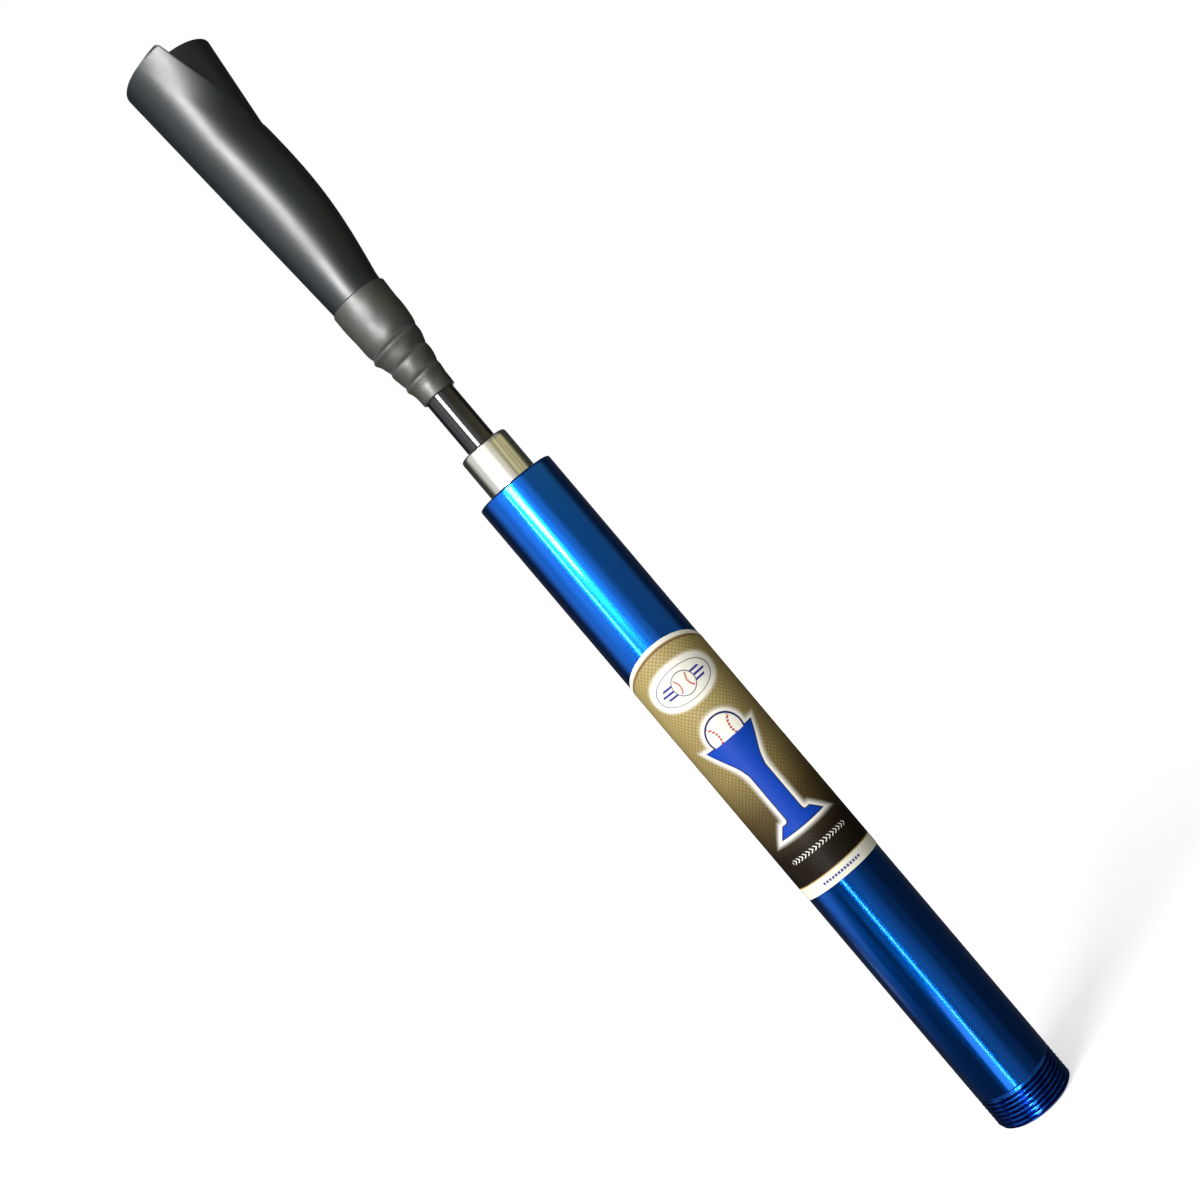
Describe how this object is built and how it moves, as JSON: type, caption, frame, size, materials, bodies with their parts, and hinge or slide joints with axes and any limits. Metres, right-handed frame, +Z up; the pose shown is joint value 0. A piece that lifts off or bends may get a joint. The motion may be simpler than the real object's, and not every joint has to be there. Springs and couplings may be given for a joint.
{
  "type": "batting tee post",
  "caption": "Telescoping batting tee post, collapsed: blue threaded outer tube, polished middle tube, black rod, and a rolled rubber cone that holds the ball on a flexing neck.",
  "frame": {"origin": "centre of the threaded end's face, the post's lowest plane", "axes": "+Z up the post towards the cone; -Y is the front, where the label's middle is; +X is to the right seen from the front"},
  "size_m": [0.0425, 0.0432, 0.5803],
  "materials": {
    "blue_anodised_aluminium": "polished, dyed blue and clear anodised",
    "printed_vinyl": "gloss printed wrap, gold-tan canvas pattern fading to near black, cream band at the foot",
    "polished_aluminium": "polished lengthwise",
    "gloss_black_anodised": "gloss black anodised",
    "boot_rubber": "satin, shrunk over the neck",
    "cone_rubber": "calendered rubber sheet, satin",
    "core_rubber": "matt moulded",
    "black_bumper_rubber": "matt moulded",
    "o_ring_rubber": "satin moulded",
    "white_acetal": "turned acetal",
    "pin_steel": "ground"
  },
  "bodies": {
    "post": {"outer_tube": "blue_anodised_aluminium", "label": "printed_vinyl", "mouth_bushing": "white_acetal", "bottom_plug": "white_acetal", "bottom_bumper": "black_bumper_rubber"},
    "mid_seals": {"mid_o_ring_lower": "o_ring_rubber", "mid_o_ring_upper": "o_ring_rubber"},
    "middle": {"mid_tube": "polished_aluminium", "mid_bushing": "white_acetal", "mid_bumper": "black_bumper_rubber", "mid_slider": "white_acetal", "mid_slider_pin": "pin_steel"},
    "rod_seals": {"rod_o_ring_lower": "o_ring_rubber", "rod_o_ring_upper": "o_ring_rubber"},
    "inner": {"rod": "gloss_black_anodised", "rod_slider": "white_acetal", "rod_slider_pin": "pin_steel", "core_pin": "pin_steel", "flex_core": "core_rubber", "boot": "boot_rubber"},
    "rest": {"cone_roll": "cone_rubber"}
  },
  "joints": [
    {"name": "mid_slide", "type": "slide", "parent": "post", "child": "mid_seals", "axis": [0, 0, 1], "range_m": [0, 0.28]},
    {"name": "mid_turn", "type": "hinge", "parent": "mid_seals", "child": "middle", "pos_m": [0, 0, 0.025], "axis": [0, 0, 1], "continuous": true},
    {"name": "rod_slide", "type": "slide", "parent": "middle", "child": "rod_seals", "axis": [0, 0, 1], "range_m": [0, 0.278]},
    {"name": "rod_turn", "type": "hinge", "parent": "rod_seals", "child": "inner", "pos_m": [0, 0, 0.055], "axis": [0, 0, 1], "continuous": true},
    {"name": "neck_flex", "type": "hinge", "parent": "inner", "child": "rest", "pos_m": [0, 0, 0.42], "axis": [0, 1, 0], "range_deg": [-25, 25], "stiffness_Nm_per_rad": 1.2, "deforming": ["boot", "flex_core"]}
  ]
}
